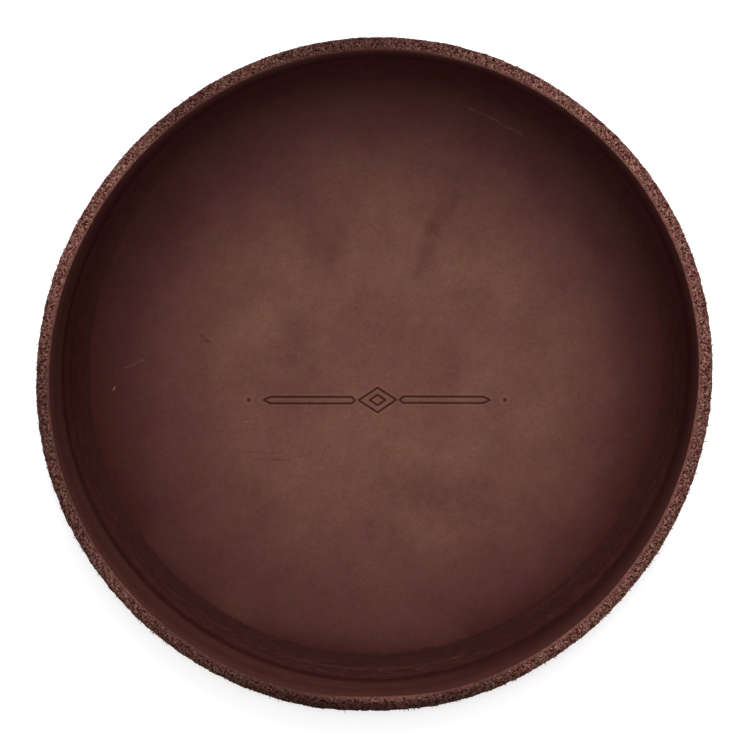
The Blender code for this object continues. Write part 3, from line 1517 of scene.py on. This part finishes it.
    def lay_floor(self, mesh: PieceMesh) -> list[int]:
        """Fill the floor with triangles, fine where it is tooled.

        Args:
            mesh: The piece.

        Returns:
            Numbers of the ring round the floor.
        """
        radius = self.ways_up()[0]
        rim = [math.tau * i / self.sectors for i in range(self.sectors)]
        outline = np.array([(radius * math.cos(a), radius * math.sin(a)) for a in rim])
        inner = radius - self.floor_step / 2
        coarse = self.lattice(self.floor_step, inner, self.near_reach, math.inf)
        middling = self.lattice(self.near_step, inner, self.tool_reach, self.near_reach)
        fine = self.lattice(self.tool_step, inner, 0.0, self.tool_reach)
        places = [Vector(p) for p in np.vstack((outline, coarse, middling, fine))]
        sides = [(i, (i + 1) % self.sectors) for i in range(self.sectors)]
        cut = geometry.delaunay_2d_cdt(places, sides, [], 0, SAME_PLACE, True)
        flat, _, faces, origins, _, _ = cut
        away = self.divider.nearest(np.array([(p.x, p.y) for p in flat]))
        numbers = [mesh.add(self.on_floor(p.x, p.y, away[i])) for i, p in enumerate(flat)]
        for face in faces:
            mesh.add_face([numbers[i] for i in face], Side.FACE)
        number_of = {origin: numbers[i] for i, group in enumerate(origins) for origin in group}
        return [number_of[i] for i in range(self.sectors)]

    def lattice(self, step: float, radius: float, nearest: float, furthest: float) -> np.ndarray:
        """Loosely even places on the floor.

        Args:
            step: How far apart.
            radius: How far out they reach.
            nearest: Least distance from the tooled strokes, in half widths.
            furthest: The most.

        Returns:
            Rows of x and y.
        """
        draw = random.Random(f"floor {round(step / MM, 3)}")
        rows = int(radius / step * 2 / math.sqrt(3)) + 1
        columns = int(radius / step) + 1
        made = []
        for row in range(-rows, rows + 1):
            for column in range(-columns, columns + 1):
                x = (column + row % 2 / 2 + draw.uniform(-self.shake, self.shake)) * step
                y = (row * math.sqrt(3) / 2 + draw.uniform(-self.shake, self.shake)) * step
                if math.hypot(x, y) < radius:
                    made.append((x, y))
        places = np.array(made)
        away = self.divider.nearest(places)
        return places[(away >= nearest) & (away < furthest)]

    def on_floor(self, x: float, y: float, away: float) -> Spot:
        """Point of the floor, with its faint swell and the tooled line.

        Args:
            x: Place across the floor.
            y: Place up the floor.
            away: Distance from the nearest stroke's middle line in half widths.

        Returns:
            The point and its marks.
        """
        radius, angle = math.hypot(x, y), math.atan2(y, x)
        size = self.floor_swell_size
        fade = ease(self.section.floor_radius - self.margin, self.section.floor_radius - size, radius)
        swollen = self.floor_swell * fade * noise.noise(Vector((x / size, y / size, self.floor_swell_seed)))
        depth, dark, pale = self.divider.press(away)
        _, up = self.section.point(radius, depth + swollen)
        return Spot(self.cut.hand.place(radius, up, angle), dark, pale)

    def inside(self, along: float, angle: float) -> Spot:
        """Point of the grain side outside the floor's middle.

        Args:
            along: The way along the plug.
            angle: Angle round the axis.

        Returns:
            The point and its marks.
        """
        up_plug = along - self.section.wall_start
        creased, crease_tone_and_shade = self.creased(up_plug, angle)
        folded, furrow_dye_and_shade, ridge_wear_and_highlight = self.wrinkled(up_plug, angle)
        depth = creased + folded + self.uneven(along, angle)
        depth -= self.cut.swollen(angle, 0.0, self.section.point(along, 0.0)[1])
        # Painted shade at the front right and in the corner, and painted light with wear on the wall at the
        # front left, carried by the pressed and raised marks
        front_right_shade = self.front_right_painted_shade.at(angle) * self.front_right_painted_shade_band.at(up_plug)
        cove_shade = self.cove_painted_shade_band.at(up_plug) * sum(patch.at(angle) for patch in self.cove_painted_shade)
        worn_and_lit = self.handled_wear_and_light * self.handling_and_light.at(angle) * self.handled_and_lit_band.at(up_plug)
        radius, up = self.section.point(along, depth)
        pressed = max(crease_tone_and_shade, furrow_dye_and_shade, front_right_shade, cove_shade)
        return Spot(self.cut.hand.place(radius, up, angle), pressed, max(ridge_wear_and_highlight, worn_and_lit))

    def creased(self, up_plug: float, angle: float) -> Pair:
        """The crease that the clamp ring pressed at the wall's foot, with a lip on each side.

        Args:
            up_plug: The way along the plug from the wall's start.
            angle: Angle round the axis.

        Returns:
            Depth into the leather, and how dark it is, partly pressed dye and partly painted shade.
        """
        across = (up_plug - self.crease_rise - self.crease_wander.at(angle)) / self.crease_width
        pressed = self.crease_sharp.at(angle) * swell(across, 1.0)
        lips = swell(across + self.lip_away, self.lip_width)
        lips += self.upper_lip * swell(across - self.lip_away, self.lip_width)
        mean = self.crease_mean + self.crease_change.at(angle)
        return self.crease_depth * mean * pressed - self.crease_lip * lips, self.crease_tone_and_shade * pressed

    def wrinkled(self, up_plug: float, angle: float) -> Triple:
        """The wrinkles round the corner.

        Args:
            up_plug: The way along the plug from the wall's start.
            angle: Angle round the axis.

        Returns:
            Depth into the leather, and how far it is dark in a furrow and pale on a ridge, partly dye and
            wear and partly painted shade and painted highlights.
        """
        hard = self.worked_hard.at(angle)
        depth = pressed = raised = 0.0
        for wrinkle in self.wrinkles:
            amount = hard * wrinkle.strength(angle) * swell(up_plug + wrinkle.below(angle), wrinkle.width)
            depth += wrinkle.depth * amount
            if wrinkle.depth > 0:
                pressed = max(pressed, self.furrow_dye_and_shade * amount)
            else:
                raised = max(raised, self.ridge_wear_and_highlight * amount)
        return depth, pressed, raised

    def uneven(self, along: float, angle: float) -> float:
        """Depth of the fine crinkle round the corner and of the wall's slow swell.

        Args:
            along: The way along the plug.
            angle: Angle round the axis.

        Returns:
            Depth into the leather.
        """
        up_plug = along - self.section.wall_start
        facing = Vector((math.cos(angle), math.sin(angle), 0.0))
        reach = self.section.floor_radius / self.crinkle_length
        crinkle = noise.noise(reach * facing + Vector((0, 0, along / self.crinkle_width)))
        crinkle *= self.crinkle_depth * self.crinkle_band.at(up_plug) * self.worked_hard.at(angle)
        slow = noise.noise(self.wall_swell_turns * facing + Vector((0, 0, along / self.wall_swell_size)))
        return crinkle + self.wall_swell * ease(0.0, self.wall_swell_rise, up_plug) * slow

    def lay_back(self, mesh: PieceMesh, ring: list[int]) -> None:
        """Close the ply with its cemented back, which nothing shows.

        Args:
            mesh: The piece.
            ring: The last ring of the cut.
        """
        floor, wall = self.section.floor_radius, self.section.wall_start
        offset = self.cut.cement - self.cement_gap
        top = self.section.wall_at(self.section.height, offset)
        counts = (2 * self.sectors, self.sectors, self.sectors // 2)
        rings = [(count, top - drop) for count, drop in zip(counts, self.back_drops)]
        rings += [(self.sectors // 4, along) for along in (wall, (wall + floor) / 2, floor)]
        self.cut.close_cemented(mesh, self.cut.lay_cemented(mesh, ring, offset, rings), offset)


@dataclass
class ShellPly:
    """The outer ply: loose fibre over the rim's cut, then the napped flesh side down and underneath."""

    section: Section
    cut: CutEdge
    rim_sectors: int = 2880
    wall_step: float = 1.2 * MM
    corner_step: float = 0.8 * MM
    base_step: float = 5.0 * MM
    under_cut: Pair = (0.25 * MM, 0.65 * MM)
    cement_gap: float = 0.03 * MM
    front_drops: tuple[float, ...] = (6.0 * MM, 3.0 * MM, 1.0 * MM, 0.3 * MM)
    nap_relief: float = 0.07 * MM
    nap_size: float = 1.6 * MM
    fine_nap: float = 2.3
    fine_share: float = 0.5
    nap_tone: Pair = (0.1, 0.9)

    def build(self, flesh: bpy.types.Material, cut: bpy.types.Material) -> bpy.types.Object:
        """Lay out the ply from its cemented face over the rim to the middle of the underside.

        Args:
            flesh: Finish of the flesh side.
            cut: Finish of the cut edge, and of the cemented face, which shows nowhere.

        Returns:
            The finished piece.
        """
        mesh = PieceMesh("outer_shell_leather")
        ring = self.lay_front(mesh)
        for step in self.cut.outer_steps():
            after = mesh.add_ring(self.rim_sectors, lambda angle, s=step: self.cut.spot(s, angle))
            mesh.join(ring, after, Side.CUT)
            ring = after
        ring = self.lay_outside(mesh, ring)
        mesh.close(ring, Spot(Vector((0, 0, 0))), Side.FACE)
        return mesh.build([flesh, cut])

    def lay_front(self, mesh: PieceMesh) -> list[int]:
        """Lay out the cemented face, which nothing shows.

        Args:
            mesh: The piece.

        Returns:
            The ring at its top.
        """
        floor, wall = self.section.floor_radius, self.section.wall_start
        offset = self.cut.cement + self.cement_gap
        top = self.section.wall_at(self.section.height, offset)
        rings = [(self.rim_sectors // 16, along) for along in (floor, (floor + wall) / 2, wall)]
        rings += [(self.rim_sectors // c, top - drop) for c, drop in zip((8, 4, 2, 1), self.front_drops)]
        return self.cut.lay_cemented(mesh, [], offset, rings)

    def lay_outside(self, mesh: PieceMesh, ring: list[int]) -> list[int]:
        """Lay out the flesh side from under the rim to near the middle of the underside.

        Args:
            mesh: The piece.
            ring: The last ring of the cut.

        Returns:
            The last ring of the underside.
        """
        floor, wall = self.section.floor_radius, self.section.wall_start
        cut_end = self.section.wall_at(self.section.height - self.cut.outer_drop, self.section.thickness)
        first, second = (cut_end - drop for drop in self.under_cut)
        ways = [(2, first), (2, second)]
        ways += [(2, along) for along in evenly(first - self.wall_step, wall, self.wall_step)]
        ways += [(4, along) for along in evenly(wall, floor, self.corner_step)]
        ways += [(8, along) for along in evenly(floor, floor / 2, self.base_step)]
        ways += [(16, along) for along in evenly(floor / 2, self.base_step / 2, self.base_step)]
        for coarser, along in ways:
            after = mesh.add_ring(self.rim_sectors // coarser, lambda angle, s=along: self.outside(s, angle))
            mesh.join(ring, after, Side.FACE)
            ring = after
        return ring

    def outside(self, along: float, angle: float) -> Spot:
        """Point of the napped flesh side. The underside only gives, so that it stands level.

        Args:
            along: The way along the plug.
            angle: Angle round the axis.

        Returns:
            The point and its marks.
        """
        radius, up = self.section.point(along, self.section.thickness)
        place = Vector((radius * math.cos(angle), radius * math.sin(angle), up)) / self.nap_size
        nap = noise.noise(place) + self.fine_share * noise.noise(place * self.fine_nap)
        standing = ease(self.section.floor_radius, self.section.wall_start, along)
        give = self.nap_relief * (nap * standing + abs(nap) * (1 - standing))
        radius, up = self.section.point(along, self.section.thickness - give)
        # Where the nap sinks, the point is marked pressed, to darken it partly as painted shade
        return Spot(self.cut.hand.place(radius, up, angle), ease(*self.nap_tone, nap))


@dataclass
class RimFibres:
    """Bundles of loose fibre that lie over the cut, and a few that stray a little past its outer edge.

    A real bundle is about half as thick, which is too fine for the render to show.
    """

    section: Section
    cut: CutEdge
    bundles: int = 7700
    first_offset: float = 0.34 * MM
    last_offset: float = 2.88 * MM
    least_offset: float = 0.16 * MM
    length: Pair = (0.50 * MM, 1.35 * MM)
    heading_spread: float = 1.1
    strays: int = 360
    stray_inside: Pair = (0.05 * MM, 0.30 * MM)
    stray_length: Pair = (0.20 * MM, 0.50 * MM)
    stray_spread: float = 0.9
    bend_spread: float = 1.9
    half_width: Pair = (0.050 * MM, 0.110 * MM)
    flatness: float = 0.7
    first_taper: float = 0.4
    last_taper: float = 0.2
    arch: float = 0.07 * MM
    sink: float = 0.06 * MM
    sink_spread: Pair = (0.2, 1.6)
    steps: int = 6
    sides: int = 3

    def build(self, cut: bpy.types.Material) -> bpy.types.Object:
        """Lay out every bundle.

        Args:
            cut: Finish of the cut edge.

        Returns:
            The finished piece.
        """
        mesh = PieceMesh("rim_fibres")
        draw = random.Random("rim fibres")
        for _ in range(self.bundles):
            heading = draw.gauss(0, self.heading_spread)
            offset = draw.uniform(self.first_offset, self.last_offset)
            self.lay_fibre(mesh, draw, offset, heading, draw.uniform(*self.length))
        for _ in range(self.strays):
            heading = math.pi / 2 + draw.gauss(0, self.stray_spread)
            offset = self.section.thickness - draw.uniform(*self.stray_inside)
            self.lay_fibre(mesh, draw, offset, heading, draw.uniform(*self.stray_length))
        return mesh.build([cut])

    def lay_fibre(
        self, mesh: PieceMesh, draw: random.Random, offset: float, heading: float, length: float
    ) -> None:
        """Lay out one bundle as a thin bent sliver with pointed ends.

        Args:
            mesh: The piece.
            draw: Random numbers.
            offset: How far into the leather it starts.
            heading: Its direction, from along the rim towards outwards, in radians.
            length: Its length.
        """
        angle = draw.uniform(0, math.tau)
        bend = draw.gauss(0, self.bend_spread)
        half_width = draw.uniform(*self.half_width)
        pale = draw.uniform(0.0, 1.0)
        # The bundle takes the dirt and painted shade of the cut where it lies
        soiled = self.cut.soil_and_shade(angle, offset)
        sunk = self.sink * draw.uniform(*self.sink_spread)
        round_start = self.section.thickness - self.cut.outer_round
        path = []
        for step in range(self.steps):
            share = step / (self.steps - 1)
            past = max(0.0, offset - round_start) / self.cut.outer_round
            drop = self.cut.outer_drop * (1 - math.sqrt(max(0.0, 1 - past * past)))
            up = self.section.height - drop - sunk * (1 - past) + self.arch * math.sin(math.pi * share)
            radius = self.section.point(self.section.wall_at(up, offset), offset)[0]
            path.append(self.cut.hand.place(radius, up, angle))
            turn = heading + bend * (share - 0.5)
            angle += length / self.steps * math.cos(turn) / radius
            offset = max(self.least_offset, offset + length / self.steps * math.sin(turn))
        self.lay_sliver(mesh, path, half_width, Spot(path[0], raised=pale, loose=1.0, soiled=soiled))

    def lay_sliver(self, mesh: PieceMesh, path: list[Vector], half_width: float, first: Spot) -> None:
        """Skin a path with a closed tube that is thickest in its middle.

        Args:
            mesh: The piece.
            path: The points that it follows.
            half_width: Half its width where it is thickest.
            first: Its first point, with the marks that all of it has.
        """
        rings = []
        whole = len(path) - self.last_taper
        for step in range(1, len(path) - 1):
            ahead = (path[step + 1] - path[step - 1]).normalized()
            side = ahead.cross(Vector((0, 0, 1))).normalized()
            over = side.cross(ahead) * self.flatness
            thick = half_width * math.sin(math.pi * (step + self.first_taper) / whole)
            turns = [math.tau * corner / self.sides for corner in range(self.sides)]
            outs = [side * math.cos(turn) + over * math.sin(turn) for turn in turns]
            rings.append([mesh.add(first._replace(point=path[step] + out * thick)) for out in outs])
        for ring, after in zip(rings, rings[1:]):
            mesh.join(ring, after, Side.FACE)
        mesh.close(rings[0], first, Side.FACE)
        mesh.close(rings[-1], first._replace(point=path[-1]), Side.FACE)


@dataclass(frozen=True)
class Lamp:
    """A soft box: where it stands from the middle of the rim, how wide it is, and its power in watts."""

    name: str
    away: Triple
    width: float
    power: float


@dataclass
class Studio:
    """Plain pale floor, soft lamps and the camera, almost straight above the tray.

    The floor's lift and the air's rest are strengths that only the camera, reflections and see-through rays
    meet, so that the floor and the background look white and don't light the tray.
    """

    rim_height: float
    floor_size: float = 6.0
    floor_height: float = -0.05 * MM
    floor_colour: str = "#F2F2F2"
    floor_lift: float = 0.44
    air: float = 0.36
    lamps: tuple[Lamp, ...] = (
        Lamp("top_softbox", (0.01, 0.10, 0.90), 0.14, 2.1),
        Lamp("key_softbox", (0.06, 0.31, 0.85), 0.30, 1.9),
        Lamp("back_softbox", (0.05, 0.64, 0.64), 0.40, 0.7),
        Lamp("low_softbox", (0.08, 0.78, 0.45), 0.50, 3.6),
        Lamp("front_softbox", (0.0, -0.25, 0.86), 0.30, 0.5),
    )
    sensor: float = 36.0
    frame_pixels: float = 750.0
    focal_pixels: float = 2976.5
    camera_distance: float = 0.670
    camera_lean: Pair = (math.radians(0.92), math.radians(4.50))
    aim: Pair = (0.24 * MM, 0.72 * MM)

    def build(self) -> None:
        """Set up everything around the tray."""
        self.lay_floor()
        self.light_air()
        for lamp in self.lamps:
            self.hang(lamp)
        self.set_camera()
        bpy.context.scene.view_settings.view_transform = "Standard"

    def lay_floor(self) -> None:
        """Lay the pale floor, which looks white where no shadow falls."""
        mesh = bpy.data.meshes.new("studio_floor")
        half, low = self.floor_size / 2, self.floor_height
        corners = [(-half, -half, low), (half, -half, low), (half, half, low), (-half, half, low)]
        mesh.from_pydata(corners, [], [(0, 1, 2, 3)])
        material, tree, _ = start_material("matt_white_studio_paper")
        paper = add_node(tree, "BsdfDiffuse", {"Color": linear(self.floor_colour)})
        lift = add_node(tree, "Emission", {"Strength": self.seen_white(tree, self.floor_lift)})
        both = add_node(tree, "AddShader", {0: paper.outputs[0], 1: lift.outputs[0]})
        add_node(tree, "OutputMaterial", {"Surface": both.outputs[0]})
        mesh.materials.append(material)
        floor = bpy.data.objects.new("studio_floor", mesh)
        bpy.context.scene.collection.objects.link(floor)

    def seen_white(self, tree: Tree, strength: float) -> Socket:
        """Strength that only the camera, reflections and see-through rays meet.

        Args:
            tree: The node tree of a material or of the world.
            strength: The strength.

        Returns:
            The strength for those rays, and 0 for all others.
        """
        rays = add_node(tree, "LightPath").outputs
        seen = rays["Is Camera Ray"]
        for ray in ("Is Glossy Ray", "Is Transmission Ray"):
            seen = add_node(tree, "Math", {0: seen, 1: rays[ray]}, operation="MAXIMUM").outputs[0]
        return add_node(tree, "Math", {0: seen, 1: strength}, operation="MULTIPLY").outputs[0]

    def light_air(self) -> None:
        """Fill the air with even light, and let the background look white."""
        world = bpy.data.worlds.new("studio_air")
        world.use_nodes = True
        tree = world.node_tree
        tree.nodes.clear()
        seen = self.seen_white(tree, 1.0 - self.air)
        strength = add_node(tree, "Math", {0: seen, 1: self.air}, operation="ADD").outputs[0]
        back = add_node(tree, "Background", {"Color": (1.0, 1.0, 1.0, 1.0), "Strength": strength})
        add_node(tree, "OutputWorld", {"Surface": back.outputs[0]})
        bpy.context.scene.world = world

    def hang(self, lamp: Lamp) -> None:
        """Hang one soft box and turn it to the tray.

        Args:
            lamp: The soft box.
        """
        light = bpy.data.lights.new(lamp.name, "AREA")
        light.shape = "DISK"
        light.size = lamp.width
        light.energy = lamp.power
        hung = bpy.data.objects.new(lamp.name, light)
        away = Vector(lamp.away)
        hung.location = Vector((0, 0, self.rim_height)) + away
        hung.rotation_mode = "QUATERNION"
        hung.rotation_quaternion = (-away).to_track_quat("-Z", "Y")
        bpy.context.scene.collection.objects.link(hung)

    def set_camera(self) -> None:
        """Hold the camera over the tray, with the frame's +Y up in the picture."""
        lens = bpy.data.cameras.new("camera")
        lens.sensor_width = self.sensor
        lens.lens = self.sensor * self.focal_pixels / self.frame_pixels
        camera = bpy.data.objects.new("camera", lens)
        lean_x, lean_y = self.camera_lean
        back = Vector((math.tan(lean_x), math.tan(lean_y), 1.0)).normalized()
        right = Vector((0.0, 1.0, 0.0)).cross(back).normalized()
        up = back.cross(right)
        turn = Matrix((right, up, back)).transposed()
        place = Vector((*self.aim, self.rim_height)) + back * self.camera_distance
        camera.matrix_world = Matrix.Translation(place) @ turn.to_4x4()
        bpy.context.scene.collection.objects.link(camera)
        bpy.context.scene.camera = camera


@dataclass
class Tray:
    """The whole tray: both plies and the fibres on the rim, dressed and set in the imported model's place."""

    section: Section
    marks: tuple[GrainMark, ...] = (
        GrainMark(MarkKind.CLOUD, (-20.0, 44.0), (-13.0, 30.0)),
        GrainMark(MarkKind.CLOUD, (-18.0, 9.0), (-17.0, -5.0)),
        GrainMark(MarkKind.CLOUD, (3.0, -28.0), (24.0, -32.5)),
        # Painted light on the floor by the front wall
        GrainMark(MarkKind.PAINTED_LIGHT, (-50.0, -42.0), (-33.0, -57.0)),
        GrainMark(MarkKind.PAINTED_LIGHT, (-33.0, -57.0), (16.0, -63.0)),
        GrainMark(MarkKind.VEIN, (21.4, 46.6), (13.5, 32.6)),
        GrainMark(MarkKind.VEIN, (13.5, 32.6), (10.3, 22.6)),
        GrainMark(MarkKind.WRINKLE, (-24.5, 43.9), (-15.2, 42.8)),
        GrainMark(MarkKind.WRINKLE, (-23.0, 42.6), (-16.8, 42.0)),
        GrainMark(MarkKind.WRINKLE, (-32.6, -19.2), (-17.4, -20.4)),
        GrainMark(MarkKind.WRINKLE, (-29.0, -21.2), (-20.0, -21.6)),
        GrainMark(MarkKind.SCRATCH, (21.8, 61.0), (34.1, 54.8)),
        GrainMark(MarkKind.SCRATCH, (-58.8, 0.2), (-54.5, 2.1)),
        GrainMark(MarkKind.DUST, (-61.5, -4.9), (-61.2, -4.4)),
        GrainMark(MarkKind.DUST, (-30.4, -12.4), (-30.3, -12.4)),
        GrainMark(MarkKind.NICK, (-41.0, 8.0), (-40.7, 7.8)),
        GrainMark(MarkKind.NICK, (-40.1, 6.9), (-39.3, 6.5)),
        GrainMark(MarkKind.SCRATCH, (-39.3, 7.6), (-38.2, 7.0)),
        GrainMark(MarkKind.NICK, (-54.8, -21.1), (-54.4, -21.1)),
    )

    def build(self) -> None:
        """Build and dress each piece, and report it."""
        grain = GrainFinish(marks=self.marks).material()
        knife_cut = CutFinish().material()
        flesh = FleshFinish().material()
        edge = CutEdge(self.section, HandShape(self.section.height))
        lining = LiningPly(self.section, edge, Divider()).build(grain, knife_cut)
        self.fit(lining, Ply.LINING)
        shell = ShellPly(self.section, edge).build(flesh, knife_cut)
        self.fit(shell, Ply.SHELL)
        fibres = RimFibres(self.section, edge).build(knife_cut)
        self.fit(fibres, None)

    def fit(self, piece: bpy.types.Object, ply: Ply | None) -> None:
        """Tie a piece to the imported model.

        Args:
            piece: The piece.
            ply: The node that it stands for, if any.
        """
        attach(piece, BODY)
        if ply is not None:
            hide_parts(ply.value)
        LOG.info("%s: %d points, %d faces", piece.name, len(piece.data.vertices), len(piece.data.polygons))


def read_section(frame: dict[str, Any]) -> Section:
    """Take the tray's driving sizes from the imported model.

    Args:
        frame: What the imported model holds.

    Returns:
        The cross-section that both plies follow.
    """
    shell_low, shell_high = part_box(Ply.SHELL.value)
    floor = next(m for m in frame["record"]["mounts"] if m["name"] == FLOOR_MOUNT)
    return Section(
        height=shell_high.z - shell_low.z,
        thickness=floor["pos_m"][2],
        rim_radius=(shell_high.x - shell_low.x) / 2,
    )


def main() -> None:
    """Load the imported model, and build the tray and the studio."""
    logging.basicConfig(level=logging.INFO, format="%(name)s: %(message)s")
    noise.seed_set(NOISE_SEED)
    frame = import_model()
    Tray(read_section(frame)).build()
    Studio(frame["record"]["size"]["bbox_m"][2]).build()


if __name__ == "__main__":
    main()
